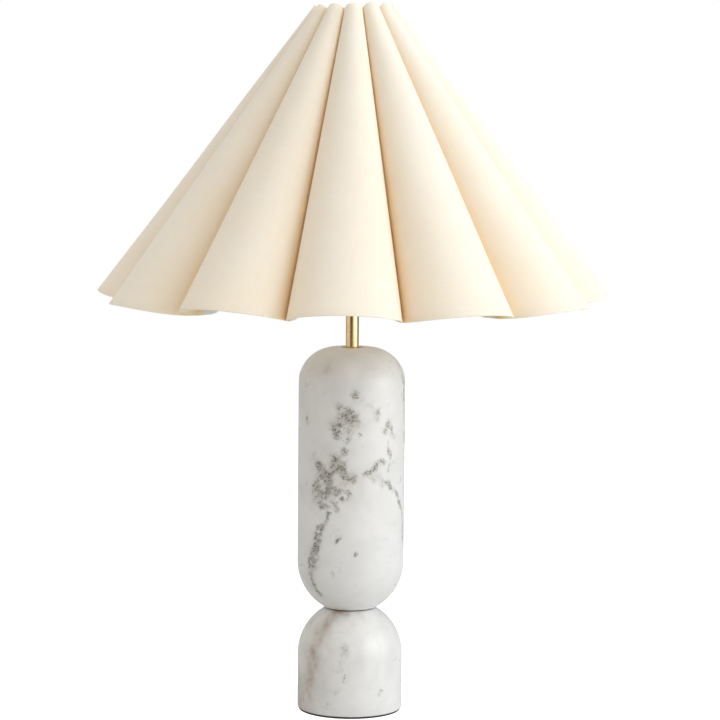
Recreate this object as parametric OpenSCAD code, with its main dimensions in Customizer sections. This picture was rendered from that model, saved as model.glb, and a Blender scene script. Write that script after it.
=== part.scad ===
// Table lamp: two stacked marble stones, a brass rod, a socket with its bulb
// and harp, and a cone shade of stiff cloth pinched into flutes.
// Millimetres, +Z up, origin at the centre of the face that stands on the table.
// The front of the lamp looks along -Y.

/* [Stones] */
// Radius of the lower stone
base_r = 51.3; // [46:0.1:60]
// Height of the lower stone's straight side
base_side_h = 54; // [40:0.5:70]
// Bevel at the lower stone's bottom edge
base_bevel = 1; // [0.5:0.1:2]
// Radius of the upper stone
capsule_r = 52.2; // [46:0.1:60]
// Height of the upper stone
capsule_h = 255.8; // [200:0.1:320]
// Radius of the upper stone's rounded shoulder
shoulder_r = 35.5; // [15:0.5:38]
// Radius of the flats where the two stones meet
seat_r = 25; // [18:0.5:32]
// Thickness of the soft washer between the stones
joint_t = 1; // [0.5:0.1:2]
// How far the soft washer stays inside the flats
joint_inset = 2; // [1:0.5:4]

/* [Foot] */
// Thickness of the pad under the lower stone
pad_t = 2; // [1.5:0.1:4]
// How far the pad stays inside the stone's side
pad_inset = 1.3; // [0.5:0.1:3]
// Radius of the recess for the nut
recess_r = 29; // [26:0.5:33]
// Depth of the recess for the nut
recess_h = 16; // [15:0.5:22]
// Radius of the large washer
washer_r = 22; // [14:0.5:24]
// Thickness of the large washer
washer_t = 2; // [1.5:0.1:3]
// Outer radius of the lock washer
lock_r = 8.5; // [7.5:0.1:10]
// Thickness of the lock washer
lock_t = 1; // [0.8:0.1:1.5]
// Width of the nut across its flats
nut_w = 16; // [14:0.5:19]
// Height of the nut
nut_h = 5; // [4:0.5:6]
// Length of pipe that shows under the nut
pipe_tail = 2.5; // [1:0.5:3]
// Height of the cord inlet above the lower stone's bottom
inlet_h = 9; // [8:0.5:10]
// Radius of the cord's hole in the bushing
inlet_bore_r = 3.3; // [2.5:0.1:3.5]
// Outer radius of the bushing's sleeve
bushing_r = 4.6; // [4.2:0.1:5]
// Radius of the bushing's flange
flange_r = 6.6; // [6:0.1:7]
// Thickness of the bushing's flange
flange_t = 1.4; // [1:0.1:2]

/* [Rod] */
// Outer radius of the threaded pipe through the lamp
pipe_r = 4.76; // [4:0.02:5]
// Inner radius of the threaded pipe
pipe_bore_r = 3.4; // [2.5:0.1:3.5]
// Outer radius of the brass rod
rod_r = 6.35; // [5.8:0.05:8]
// Wall of the brass rod
rod_wall = 1.2; // [0.8:0.05:1.2]
// Length of rod above the upper stone
rod_l = 69.3; // [50:0.1:110]
// Width of the seat ring round the rod's foot
seat_ring_w = 4.6; // [3:0.1:6]
// Thickness of the seat ring
seat_ring_t = 2.5; // [1.5:0.1:4]
// How far the seat ring lies below the stone's crown
seat_ring_sink = 0.6; // [0.2:0.1:1]
// Width of the check ring's rim outside the rod
check_ring_w = 3.4; // [2:0.1:5]
// Height of the check ring
check_ring_h = 3.5; // [3:0.1:5]
// How deep the rod sits in the check ring
check_ring_sink = 1.5; // [1:0.1:2]

/* [Socket] */
// Outer radius of the socket's cap
cap_r = 17.4; // [17:0.1:19]
// Height of the socket's cap
cap_h = 18; // [16:0.5:19]
// Radius of the cap's neck
cap_neck_r = 7.4; // [7:0.1:9]
// Height of the cap's neck
cap_neck_h = 7; // [6:0.5:8]
// Wall of the cap and the shell
shell_wall = 0.7; // [0.5:0.05:0.8]
// Height of the shell's rim above the saddle
shell_top = 61; // [60:0.5:66]
// Wall of the insulating sleeve
sleeve_wall = 0.8; // [0.5:0.05:0.9]
// Height of the switch block
block_h = 25; // [22:0.5:27]
// Radius of the bulb's screw cap
bulb_cap_r = 13.2; // [12.5:0.05:13.3]
// Length of the bulb's screw cap
bulb_cap_l = 26; // [24:0.5:28]
// Wall of the threaded socket insert
insert_wall = 0.4; // [0.3:0.05:0.5]
// Height of the switch stem above the block's foot
stem_h = 15.5; // [14:0.5:18]
// Radius of the switch stem
stem_r = 2; // [1.6:0.1:2.4]
// How far the knob's end stands out from the lamp's axis
knob_reach = 37; // [33:0.5:45]
// Length of the knob
knob_l = 14; // [10:0.5:16]
// Radius of the knob
knob_r = 6; // [5:0.1:8]
// Grip grooves round the knob
knob_grooves = 8; // [6:1:12]

/* [Bulb] */
// Radius of the bulb's glass
bulb_r = 30; // [25:0.5:32]
// Length of the bulb
bulb_l = 110; // [100:1:125]
// Wall of the bulb's glass
bulb_wall = 1; // [0.6:0.1:1.5]

/* [Harp] */
// Thickness of the saddle's strip
saddle_t = 1.5; // [1:0.1:2]
// Width of the saddle's strip
saddle_w = 12; // [10:0.5:16]
// Distance between the harp's feet
harp_foot_span = 48; // [44:0.5:56]
// Height of the saddle's shoulders
saddle_h = 5; // [4:0.5:8]
// Radius of the harp's wire
harp_wire_r = 1.8; // [1.5:0.1:2.2]
// Height of the harp above the check ring
harp_h = 232; // [215:0.5:260]
// Length of the ferrules
ferrule_l = 13; // [10:0.5:15]
// Wall of the ferrules
ferrule_wall = 1.6; // [1:0.1:2]
// Radius of the eye at the harp's top
eye_r = 7; // [6.5:0.5:9]
// Thickness of the eye
eye_t = 2.6; // [2:0.1:3.5]
// Radius of the stud that carries the shade
stud_r = 3.175; // [3:0.025:3.5]
// Height of the stud above its collar
stud_l = 12; // [10:0.5:15]
// How far the finial's foot stays inside the spider's washer
finial_inset = 3.5; // [2.8:0.1:5]
// Height of the finial
finial_h = 17; // [16:0.5:20]

/* [Shade] */
// Width of the shade across the hem
shade_d = 497; // [440:1:540]
// Width of the shade across its top
shade_top_d = 74; // [66:0.2:100]
// Height of the shade from hem to top, along a flute's crown
shade_h = 279; // [250:1:330]
// Flutes round the shade
flute_count = 12; // [10:1:16]
// Depth of the seams between flutes, as a share of the flute's radius
pinch = 0.5; // [0.35:0.01:0.6]
// Thickness of the stiffened cloth
cloth_t = 1.2; // [0.8:0.1:1.6]
// Gap between the two layers of a seam
seam_gap = 0.2; // [0.1:0.05:0.4]
// How far the hem dips from a flute's crown to its crease
hem_dip = 12.2; // [4:0.1:16]
// Height of the rounding at a seam's lower inner corner
corner_h = 4.8; // [1:0.1:7]
// How far the top edge dips from a flute's crown to its crease
top_dip = 6; // [1:0.1:8]
// Radius of the frame's wire
ring_wire_r = 1.4; // [1:0.1:2]
// Height of the lower ring above the lowest point of the hem
ring_hem_h = 12; // [8:0.5:20]
// Depth of the upper ring below the shade's top
ring_top_h = 9; // [8:0.5:14]
// How far the spider's arms rise from its washer to the ring
spider_rise = 15; // [10:0.5:20]
// Radius of the spider's washer
spider_washer_r = 11; // [9:0.5:13]
// Thickness of the spider's washer
spider_washer_t = 1.5; // [1:0.1:2]

/* [Fits] */
// Clearance between parts that are fitted and stay put
fit = 0.2; // [0.1:0.05:0.3]
// Radial clearance of a part that turns or slides on another
running_fit = 0.06; // [0.04:0.01:0.1]
// Gap between a part and the seat that it rests on
seat_gap = 0.2; // [0.1:0.05:0.3]

/* [Hidden] */
$fn = 72;
// A small overlap for cuts that run past a face
eps = 0.5;

// Levels of the stones
stone_z = pad_t;
base_centre_z = stone_z + base_side_h;
base_top_z = base_centre_z + sqrt(pow(base_r, 2) - pow(seat_r, 2));
capsule_z = base_top_z + joint_t;
capsule_centre_z = capsule_z + sqrt(pow(capsule_r, 2) - pow(seat_r, 2));
crown_z = capsule_z + capsule_h;
recess_z = stone_z + recess_h;
nut_z = recess_z - washer_t - lock_t - nut_h;
pipe_z = nut_z - pipe_tail;
inlet_z = stone_z + inlet_h;
spot_y = base_r - flange_t;
bushing_end_y = recess_r + 1;
stone_bore_r = pipe_r + 3 * fit;

// Levels of the rod and the socket
rod_foot_z = crown_z - seat_ring_sink - seat_ring_t;
rod_top_z = crown_z + rod_l;
check_z = rod_top_z - check_ring_sink;
saddle_z = check_z + check_ring_h;
socket_z = saddle_z + saddle_t;
pipe_top_z = socket_z + cap_neck_h - shell_wall;
cap_floor_z = socket_z + cap_neck_h + shell_wall;
shell_r = cap_r - shell_wall - fit;
cap_bevel = 2;
cap_inner_bevel = cap_bevel + shell_wall * (sqrt(2) - 1);
shell_z = socket_z + cap_neck_h + cap_inner_bevel + fit;
shell_top_z = socket_z + shell_top;
sleeve_r = shell_r - shell_wall - fit;
block_r = sleeve_r - sleeve_wall - fit - 1.2;
block_z = cap_floor_z + fit;
block_top_z = block_z + block_h;
stem_z = block_z + stem_h;
stem_slot_r = stem_r + 2 * fit;
insert_r = bulb_cap_r + fit + insert_wall;
insert_top_z = shell_top_z - 2;
contact_t = 0.8;
contact_dome_h = 1.6;
bulb_z = block_top_z + contact_t + contact_dome_h + seat_gap;
tip_h = 2;
bulb_neck_z = bulb_z + bulb_cap_l;
bulb_centre_z = bulb_z + bulb_l - bulb_r;

// Harp: prong, straight foot, flare, straight, bow, shoulder and eye
prong_w = 2.8;
prong_h = 7;
shoulder_z = saddle_z + saddle_h;
foot_x = harp_foot_span / 2;
foot_z = shoulder_z + prong_h + seat_gap;
foot_l = 22;
flare_r = 30;
flare_a = 17;
bow_a = 50;
bend_r = 22;
harp_top_z = saddle_z + harp_h;
ferrule_z = shoulder_z + seat_gap;
ferrule_bore_r = harp_wire_r + running_fit;
// The straight and the bow's radius follow from the height and the foot's place
rise_left = harp_top_z - foot_z - foot_l - flare_r * sin(flare_a) - bend_r * (1 - sin(bow_a));
run_left = eye_r - foot_x - flare_r * (1 - cos(flare_a)) + bend_r * cos(bow_a);
bow_dx = cos(bow_a) - cos(flare_a);
bow_dz = sin(bow_a) + sin(flare_a);
harp_det = sin(flare_a) * bow_dz - cos(flare_a) * bow_dx;
straight_l = (run_left * bow_dz - rise_left * bow_dx) / harp_det;
bow_r = (sin(flare_a) * rise_left - cos(flare_a) * run_left) / harp_det;

// Stud, spider and finial
eye_top_z = harp_top_z + eye_t / 2;
shank_r = stud_r - 1;
rivet_r = stud_r + 0.8;
rivet_t = 1.2;
collar_r = eye_r - 0.5;
collar_t = 3;
collar_z = eye_top_z + seat_gap / 2;
spider_z = collar_z + collar_t;
finial_z = spider_z + spider_washer_t + seat_gap;
finial_r = spider_washer_r - finial_inset;

// Shade: a cone over a ring of flutes, all rulings meeting at one apex
ring_top_z = spider_z + spider_washer_t / 2 + spider_rise;
shade_top_z = ring_top_z + ring_top_h;
hem_z = shade_top_z - shade_h;
shade_r = shade_d / 2;
shade_slope = (shade_r - shade_top_d / 2) / shade_h;
apex_z = hem_z + shade_r / shade_slope;
flute_half = 180 / flute_count;
flute_c = shade_r / (1 + sin(flute_half));
flute_r = flute_c * sin(flute_half);
crease_r = flute_c * cos(flute_half);
fold_r = crease_r - pinch * flute_r;
wrap_a = 90 + flute_half;
flute_steps = 16;
// Places across a seam allowance, as shares of its depth: the first ends its straight
// part, the others round its lower inner corner
seam_shares = [0.58, 0.79, 0.93, 1];
seam_steps = len(seam_shares);
fold_slope_cos = cos(atan(shade_slope * fold_r / shade_r));
hem_low_z = hem_z - hem_dip;
ring_hem_z = hem_low_z + ring_hem_h;

// Radius of a wire ring that lies inside the seams at height z
function cone_k(z) = (apex_z - z) / (apex_z - hem_z);
function ring_r(z) = fold_r * cone_k(z) - (ring_wire_r + seat_gap) / fold_slope_cos;

// Angle round the flute of its point s, and the height of a wavy edge there
function wrap_at(s) = wrap_a * (2 * s / flute_steps - 1);
function edge_z(a, crown, dip) = crown - dip * (1 - cos(a)) / (1 - cos(wrap_a));
// Depth in the seam of point s as a share, and how far the rounded corner lifts it
function seam_share(s) = s < 0 ? seam_shares[-s - 1] : seam_shares[s - flute_steps - 1];
function corner_lift(q) = 1 - sqrt(1 - pow((q - seam_shares[0]) / (1 - seam_shares[0]), 2));

// A point of a gore's outline, wall inside the cloth's outer face. Points 0 to
// flute_steps go round the flute, the ones before and after cross the seam allowances
function gore_point(s, crown, dip, lift, wall) =
    let (in_seam = s < 0 || s > flute_steps, a = wrap_at(min(max(s, 0), flute_steps)))
    let (q = in_seam ? seam_share(s) : seam_shares[0])
    let (z = edge_z(a, crown, dip) + lift * corner_lift(q), k = cone_k(z))
    let (off = seam_gap / 2 + wall, r = flute_r * k - off)
    let (out = (crease_r + q * (fold_r - crease_r)) * k)
    in_seam ? [
        out * cos(flute_half) + off * sin(flute_half),
        sign(a) * (out * sin(flute_half) - off * cos(flute_half)),
        z
    ] : [flute_c * k + r * cos(a), r * sin(a), z];
// The whole outline at the hem or the top: out along the outer face, back inside
function gore_loop(crown, dip, lift) = concat(
    [for (s = [-seam_steps:flute_steps + seam_steps]) gore_point(s, crown, dip, lift, 0)],
    [for (s = [flute_steps + seam_steps:-1:-seam_steps]) gore_point(s, crown, dip, lift, cloth_t)]
);

module tube(r, wall, h) {
    difference() {
        cylinder(r = r, h = h);
        translate([0, 0, -eps]) cylinder(r = r - wall, h = h + 2 * eps);
    }
}

module disc_with_hole(r, hole_r, t) {
    tube(r, r - hole_r, t);
}

// A wire's arc in the XZ plane, round the point c, between two angles from +X,
// run on by the length grow at both ends
module wire_arc(c, r, a0, a1, wire_r, grow = 0) {
    grow_a = grow * 180 / PI / r;
    translate([c[0], 0, c[1]])
        rotate([90, 0, 0])
        rotate([0, 0, a0 - grow_a])
        rotate_extrude(angle = a1 - a0 + 2 * grow_a)
        translate([r, 0]) circle(r = wire_r, $fn = 24);
}

// A straight wire in the XZ plane from p, leaning a degrees from +Z to +X
module wire_line(p, a, l, wire_r) {
    translate([p[0], 0, p[1]])
        rotate([0, a, 0])
        cylinder(r = wire_r, h = l, $fn = 24);
}

module foot_pad() {
    color("#2f2b28")
        cylinder(r = base_r - pad_inset, h = pad_t);
}

module lower_stone() {
    color("#e4e2de")
        difference() {
            union() {
                translate([0, 0, stone_z])
                    cylinder(r1 = base_r - base_bevel, r2 = base_r, h = base_bevel);
                translate([0, 0, stone_z + base_bevel])
                    cylinder(r = base_r, h = base_side_h - base_bevel);
                intersection() {
                    translate([0, 0, base_centre_z]) sphere(r = base_r);
                    translate([0, 0, base_centre_z - 1])
                        cylinder(r = base_r + 1, h = base_top_z - base_centre_z + 1);
                }
            }
            translate([0, 0, stone_z - eps]) cylinder(r = recess_r, h = recess_h + eps);
            translate([0, 0, stone_z]) cylinder(r = stone_bore_r, h = base_top_z);
            translate([0, 0, inlet_z]) rotate([-90, 0, 0])
                cylinder(r = bushing_r + fit / 2, h = base_r + eps);
            translate([0, spot_y, inlet_z]) rotate([-90, 0, 0])
                cylinder(r = flange_r + fit, h = base_r);
        }
}

module recess_washer() {
    color("#b9bcc0") translate([0, 0, recess_z - washer_t])
        disc_with_hole(washer_r, pipe_r + fit, washer_t);
}

module lock_washer() {
    color("#9ea2a6") translate([0, 0, recess_z - washer_t - lock_t])
        difference() {
            disc_with_hole(lock_r, pipe_r + fit, lock_t);
            for (i = [0:11])
                rotate([0, 0, 30 * i + 15])
                    translate([lock_r - 1, -0.5, -eps]) cube([2, 1, lock_t + 2 * eps]);
        }
}

module pipe_nut() {
    color("#c8a45a") translate([0, 0, nut_z])
        difference() {
            cylinder(r = nut_w / 2 / cos(30), h = nut_h, $fn = 6);
            translate([0, 0, -eps]) cylinder(r = pipe_r + running_fit, h = nut_h + 2 * eps);
        }
}

module cord_bushing() {
    color("#8c6f3c") translate([0, 0, inlet_z]) rotate([-90, 0, 0])
        difference() {
            union() {
                translate([0, 0, spot_y]) cylinder(r = flange_r, h = flange_t);
                translate([0, 0, bushing_end_y])
                    cylinder(r = bushing_r, h = spot_y - bushing_end_y + eps);
            }
            translate([0, 0, bushing_end_y - eps])
                cylinder(r = inlet_bore_r, h = base_r);
        }
}

module threaded_pipe() {
    color("#b8b8b4") translate([0, 0, pipe_z])
        tube(pipe_r, pipe_r - pipe_bore_r, pipe_top_z - pipe_z);
}

module stone_washer() {
    color("#5c5a56") translate([0, 0, base_top_z])
        disc_with_hole(seat_r - joint_inset, stone_bore_r, joint_t);
}

module upper_stone() {
    color("#e4e2de")
        difference() {
            union() {
                intersection() {
                    translate([0, 0, capsule_centre_z]) sphere(r = capsule_r);
                    translate([0, 0, capsule_z])
                        cylinder(r = capsule_r + 1, h = capsule_centre_z - capsule_z + 1);
                }
                translate([0, 0, capsule_centre_z])
                    cylinder(r = capsule_r, h = crown_z - shoulder_r - capsule_centre_z);
                translate([0, 0, crown_z - shoulder_r - eps])
                    cylinder(r = capsule_r - shoulder_r, h = shoulder_r + eps);
                translate([0, 0, crown_z - shoulder_r])
                    rotate_extrude()
                    translate([capsule_r - shoulder_r, 0])
                    intersection() {
                        circle(r = shoulder_r);
                        translate([-eps, -eps]) square(shoulder_r + 2 * eps);
                    }
            }
            translate([0, 0, capsule_z - eps]) cylinder(r = stone_bore_r, h = capsule_h + 2 * eps);
            translate([0, 0, rod_foot_z])
                cylinder(r = rod_r + seat_ring_w + fit, h = seat_ring_t + seat_ring_sink + eps);
        }
}

module seat_ring() {
    color("#caa055") translate([0, 0, rod_foot_z])
        disc_with_hole(rod_r + seat_ring_w, rod_r + fit / 2, seat_ring_t);
}

module brass_rod() {
    color("#d6ab62") translate([0, 0, rod_foot_z])
        tube(rod_r, rod_wall, rod_top_z - rod_foot_z);
}

module check_ring() {
    color("#caa055") translate([0, 0, check_z])
        difference() {
            rotate_extrude()
                polygon([
                    [pipe_r + fit, 0], [rod_r + check_ring_w - 1, 0],
                    [rod_r + check_ring_w, 1], [rod_r + check_ring_w, check_ring_h - 1],
                    [rod_r + check_ring_w - 1, check_ring_h], [pipe_r + fit, check_ring_h]
                ]);
            translate([0, 0, -eps]) cylinder(r = rod_r + fit / 2, h = check_ring_sink + eps);
        }
}

// A strip bent up at both ends, each ending in a prong for the harp's foot
module harp_saddle() {
    bend = saddle_t + 1;
    flat_x = foot_x + saddle_t / 2 - bend;
    color("#c49a52")
        difference() {
            union() {
                translate([-flat_x, -saddle_w / 2, saddle_z])
                    cube([2 * flat_x, saddle_w, saddle_t]);
                for (side = [0, 1]) mirror([side, 0, 0]) {
                    translate([flat_x, saddle_w / 2, saddle_z + bend])
                        rotate([90, 0, 0])
                        intersection() {
                            tube(bend, saddle_t, saddle_w);
                            translate([0, -bend, 0]) cube([bend, bend, saddle_w]);
                        }
                    translate([foot_x - saddle_t / 2, -saddle_w / 2, saddle_z + bend])
                        cube([saddle_t, saddle_w, shoulder_z - saddle_z - bend]);
                    translate([foot_x - saddle_t / 2, -prong_w / 2, saddle_z + bend])
                        cube([saddle_t, prong_w, shoulder_z - saddle_z - bend + prong_h]);
                }
            }
            translate([0, 0, saddle_z - eps]) cylinder(r = pipe_r + fit, h = saddle_t + 2 * eps);
        }
}

// One leg of the harp, from its foot to the eye. Its arcs are drawn a hair
// thinner than the stretches between them, which run on over the arcs' ends
module harp_leg() {
    thin_r = harp_wire_r - 0.03;
    flare_end = [
        foot_x + flare_r * (1 - cos(flare_a)),
        foot_z + foot_l + flare_r * sin(flare_a)
    ];
    bow_start = flare_end + straight_l * [sin(flare_a), cos(flare_a)];
    bow_c = bow_start - bow_r * [cos(flare_a), -sin(flare_a)];
    bend_c = bow_c + (bow_r - bend_r) * [cos(bow_a), sin(bow_a)];
    run_on = eps * [sin(flare_a), cos(flare_a)];
    wire_line([foot_x, foot_z], 0, foot_l + eps, harp_wire_r);
    wire_arc([foot_x + flare_r, foot_z + foot_l], flare_r, 180 - flare_a, 180, thin_r);
    wire_line(flare_end - run_on, flare_a, straight_l + 2 * eps, harp_wire_r);
    wire_arc(bow_c, bow_r, -flare_a, bow_a, thin_r);
    wire_arc(bend_c, bend_r, bow_a, 90, harp_wire_r, eps);
    wire_line([bend_c[0], harp_top_z], -90, bend_c[0] - eye_r / 2, thin_r);
}

module harp_wire() {
    color("#caa055")
        difference() {
            union() {
                for (side = [0, 1]) mirror([side, 0, 0]) harp_leg();
                translate([0, 0, harp_top_z - eye_t / 2]) cylinder(r = eye_r, h = eye_t);
            }
            translate([0, 0, harp_top_z - 2 * eye_t])
                cylinder(r = shank_r + running_fit, h = 4 * eye_t);
            translate([0, 0, eye_top_z]) cylinder(r = eye_r + fit, h = eye_t);
            translate([0, 0, eye_top_z - 3 * eye_t])
                cylinder(r = rivet_r + fit, h = 2 * eye_t);
        }
}

module ferrule(side) {
    color("#d6ab62")
        translate([side * foot_x, 0, ferrule_z])
        tube(ferrule_bore_r + ferrule_wall, ferrule_wall, ferrule_l);
}

module ferrule_left() {
    ferrule(-1);
}

module ferrule_right() {
    ferrule(1);
}

// Rivet head, shank through the eye, collar and threaded end, in one turning
module harp_stud() {
    rivet_top_z = harp_top_z - eye_t / 2 - seat_gap / 2;
    color("#caa055") {
        translate([0, 0, rivet_top_z - rivet_t]) cylinder(r = rivet_r, h = rivet_t);
        translate([0, 0, rivet_top_z - eps]) cylinder(r = shank_r, h = collar_z - rivet_top_z + 2 * eps);
        translate([0, 0, collar_z]) cylinder(r = collar_r, h = collar_t);
        translate([0, 0, collar_z + eps]) cylinder(r = stud_r, h = collar_t + stud_l - eps);
    }
}

module socket_cap() {
    color("#caa055") translate([0, 0, socket_z])
        difference() {
            rotate_extrude()
                polygon([
                    [pipe_r + fit, 0], [cap_neck_r, 0], [cap_neck_r, cap_neck_h - 1],
                    [cap_neck_r + 1, cap_neck_h], [cap_r - cap_bevel, cap_neck_h],
                    [cap_r, cap_neck_h + cap_bevel], [cap_r, cap_h], [cap_r - shell_wall, cap_h],
                    [cap_r - shell_wall, cap_neck_h + cap_inner_bevel],
                    [cap_r - cap_inner_bevel, cap_neck_h + shell_wall],
                    [pipe_r + fit, cap_neck_h + shell_wall]
                ]);
            translate([0, 0, cap_neck_h / 2]) rotate([-90, 0, 0])
                cylinder(r = 1.5 + fit / 2, h = cap_r);
        }
}

module cap_screw() {
    color("#8f8f8b") translate([0, 0, socket_z + cap_neck_h / 2]) rotate([-90, 0, 0])
        translate([0, 0, pipe_r + fit / 2])
        difference() {
            union() {
                cylinder(r = 1.5, h = cap_neck_r - pipe_r);
                translate([0, 0, cap_neck_r - pipe_r]) cylinder(r = 2.4, h = 1.8);
            }
            translate([-3, -0.3, cap_neck_r - pipe_r + 1]) cube([6, 0.6, 1]);
        }
}

// A slot for the stem, open at the lower edge, on the front of a sleeve
module stem_slot(z) {
    translate([0, 0, stem_z]) rotate([90, 0, 0]) cylinder(r = stem_slot_r, h = cap_r + 1);
    translate([-stem_slot_r, -cap_r - 1, z - eps])
        cube([2 * stem_slot_r, cap_r + 1, stem_z - z + eps]);
}

module socket_shell() {
    rim = 0.8;
    color("#d6ab62")
        difference() {
            union() {
                translate([0, 0, shell_z]) tube(shell_r, shell_wall, shell_top_z - shell_z);
                translate([0, 0, shell_top_z - 2 * rim]) tube(shell_r + rim, rim + shell_wall, 2 * rim);
            }
            stem_slot(shell_z);
        }
}

module insulating_sleeve() {
    color("#6b5a45")
        difference() {
            translate([0, 0, shell_z])
                tube(sleeve_r, sleeve_wall, shell_top_z - 1 - shell_z);
            stem_slot(shell_z);
        }
}

module switch_block() {
    color("#2a2826")
        difference() {
            translate([0, 0, block_z]) cylinder(r = block_r, h = block_h);
            translate([0, 1, stem_z]) rotate([90, 0, 0])
                cylinder(r = stem_r + running_fit, h = cap_r + 1);
            for (side = [-1, 1])
                translate([side * block_r, 0, stem_z - 6]) rotate([0, 90, 0])
                    cylinder(r = 3.4, h = 4, center = true);
        }
}

module terminal_screws() {
    for (side = [0, 1]) mirror([side, 0, 0])
        color(side == 0 ? "#c9a04e" : "#c8cacc")
            translate([block_r - 2, 0, stem_z - 6]) rotate([0, 90, 0])
            difference() {
                cylinder(r = 3, h = 3);
                translate([-4, -0.4, 2.2]) cube([8, 0.8, 1]);
            }
}

module socket_insert() {
    color("#c8cacc") translate([0, 0, block_top_z])
        difference() {
            cylinder(r = insert_r, h = insert_top_z - block_top_z);
            translate([0, 0, insert_wall])
                cylinder(r = insert_r - insert_wall, h = insert_top_z);
            translate([0, 0, -eps]) cylinder(r = 7, h = 2);
        }
}

module centre_contact() {
    color("#c9a04e") translate([0, 0, block_top_z]) {
        intersection() {
            cylinder(r = 6.5, h = contact_t);
            translate([-7, -2.2, -eps]) cube([14, 4.4, 2]);
        }
        cylinder(r = 2, h = contact_t + contact_dome_h);
    }
}

module switch_stem() {
    color("#c9a04e") translate([0, 0, stem_z]) rotate([90, 0, 0])
        cylinder(r = stem_r, h = knob_reach - 3);
}

// A tapered knob with grip grooves, bored for the stem
module turn_knob() {
    groove_r = 0.9;
    color("#1f1d1c") translate([0, 0, stem_z]) rotate([90, 0, 0])
        difference() {
            translate([0, 0, knob_reach - knob_l]) union() {
                cylinder(r = stem_r + 1.6, h = 2);
                translate([0, 0, 2]) cylinder(r = knob_r, h = knob_l - 3);
                translate([0, 0, knob_l - 1]) cylinder(r1 = knob_r, r2 = knob_r - 1, h = 1);
            }
            translate([0, 0, knob_reach - knob_l - eps])
                cylinder(r = stem_r + fit / 4, h = knob_l - 3 + eps + fit / 2);
            for (i = [0:knob_grooves - 1])
                rotate([0, 0, i * 360 / knob_grooves])
                    translate([knob_r + groove_r / 3, 0, knob_reach - knob_l + 3])
                    cylinder(r = groove_r, h = knob_l);
        }
}

module bulb_cap() {
    cap_wall = 0.4;
    tip_r = 4.5;
    color("#b9bcc0") translate([0, 0, bulb_z])
        difference() {
            union() {
                cylinder(r = tip_r, h = tip_h);
                translate([0, 0, tip_h - 0.5]) cylinder(r1 = tip_r + 1, r2 = bulb_cap_r - 1, h = 3.5);
                translate([0, 0, tip_h + 3]) cylinder(r = bulb_cap_r, h = bulb_cap_l - tip_h - 3);
            }
            translate([0, 0, tip_h + 3 + cap_wall])
                cylinder(r = bulb_cap_r - cap_wall, h = bulb_cap_l);
        }
}

// The bulb's solid, made inset by the glass's wall for its inside
module bulb_solid(inset) {
    neck_r = bulb_cap_r - 0.4 - fit - inset;
    neck_z = bulb_neck_z + 4;
    rise = bulb_centre_z - neck_z;
    outer_neck = neck_r + inset;
    blend_r = (pow(outer_neck, 2) + pow(rise, 2) - pow(bulb_r, 2)) / (2 * (bulb_r - outer_neck));
    // Where the concave neck meets the ball
    touch = bulb_r / (bulb_r + blend_r);
    touch_x = (outer_neck + blend_r) * touch;
    touch_z = bulb_centre_z - rise * touch;
    translate([0, 0, bulb_centre_z]) sphere(r = bulb_r - inset);
    translate([0, 0, bulb_neck_z - 4 + inset]) cylinder(r = neck_r, h = 8 - inset + eps);
    rotate_extrude()
        difference() {
            translate([0, neck_z]) square([touch_x, touch_z - neck_z]);
            translate([outer_neck + blend_r, neck_z]) circle(r = blend_r + inset, $fn = 180);
        }
}

module bulb_glass() {
    color("#f4f0e6")
        difference() {
            bulb_solid(0);
            bulb_solid(bulb_wall);
        }
}

// Washer, three rising arms and the ring that the shade's seams are fixed to
module spider_frame() {
    ring = ring_r(ring_top_z);
    arm_wire_r = ring_wire_r - 0.2;
    arm_z = spider_z + spider_washer_t - 0.2;
    arm_r0 = spider_washer_r - 1.3;
    arm_run = ring - arm_r0;
    arm_rise = ring_top_z - arm_z;
    color("#c9a86a") {
        translate([0, 0, spider_z])
            disc_with_hole(spider_washer_r, stud_r + running_fit, spider_washer_t);
        for (i = [0:2])
            rotate([0, 0, 120 * i + 30])
                wire_line([arm_r0, arm_z], atan2(arm_run, arm_rise), norm([arm_run, arm_rise]), arm_wire_r);
        translate([0, 0, ring_top_z])
            rotate_extrude() translate([ring, 0]) circle(r = ring_wire_r, $fn = 24);
    }
}

module hem_ring() {
    color("#c9a86a") translate([0, 0, ring_hem_z])
        rotate_extrude() translate([ring_r(ring_hem_z), 0]) circle(r = ring_wire_r, $fn = 24);
}

// A gore is one flute with its two seam allowances, which turn inwards and lie
// back to back with the next gore's. It tapers straight from the hem to the top
module gore() {
    row = flute_steps + 1 + 2 * seam_steps;
    n = 2 * row;
    function quad(a, b, c, d) = [[a, b, c], [a, c, d]];
    sides = [for (j = [0:n - 1]) each quad(j, j + n, (j + 1) % n + n, (j + 1) % n)];
    hem_edge = [for (j = [0:row - 2]) each quad(j, j + 1, n - 2 - j, n - 1 - j)];
    top_edge = [for (f = hem_edge) [f[0] + n, f[2] + n, f[1] + n]];
    polyhedron(
        points = concat(
            gore_loop(hem_z, hem_dip, corner_h),
            gore_loop(shade_top_z, top_dip, 0)
        ),
        faces = concat(sides, hem_edge, top_edge)
    );
}

module shade_gores() {
    color("#f3e6cc")
        for (i = [0:flute_count - 1])
            rotate([0, 0, i * 360 / flute_count - 90]) gore();
}

// A low turned finial with a ball on a short waist
module finial() {
    ball_r = finial_r * 0.8;
    ball_z = finial_h - ball_r;
    foot_h = 3;
    bore_l = stud_l - spider_washer_t;
    color("#d6ab62") translate([0, 0, finial_z])
        difference() {
            union() {
                cylinder(r1 = finial_r - 0.8, r2 = finial_r, h = 0.8);
                translate([0, 0, 0.8]) cylinder(r = finial_r, h = foot_h - 0.8);
                cylinder(r = stud_r + 1.4, h = ball_z);
                translate([0, 0, ball_z]) sphere(r = ball_r);
            }
            translate([0, 0, -eps]) cylinder(r = stud_r + running_fit, h = bore_l + eps);
        }
}

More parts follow.
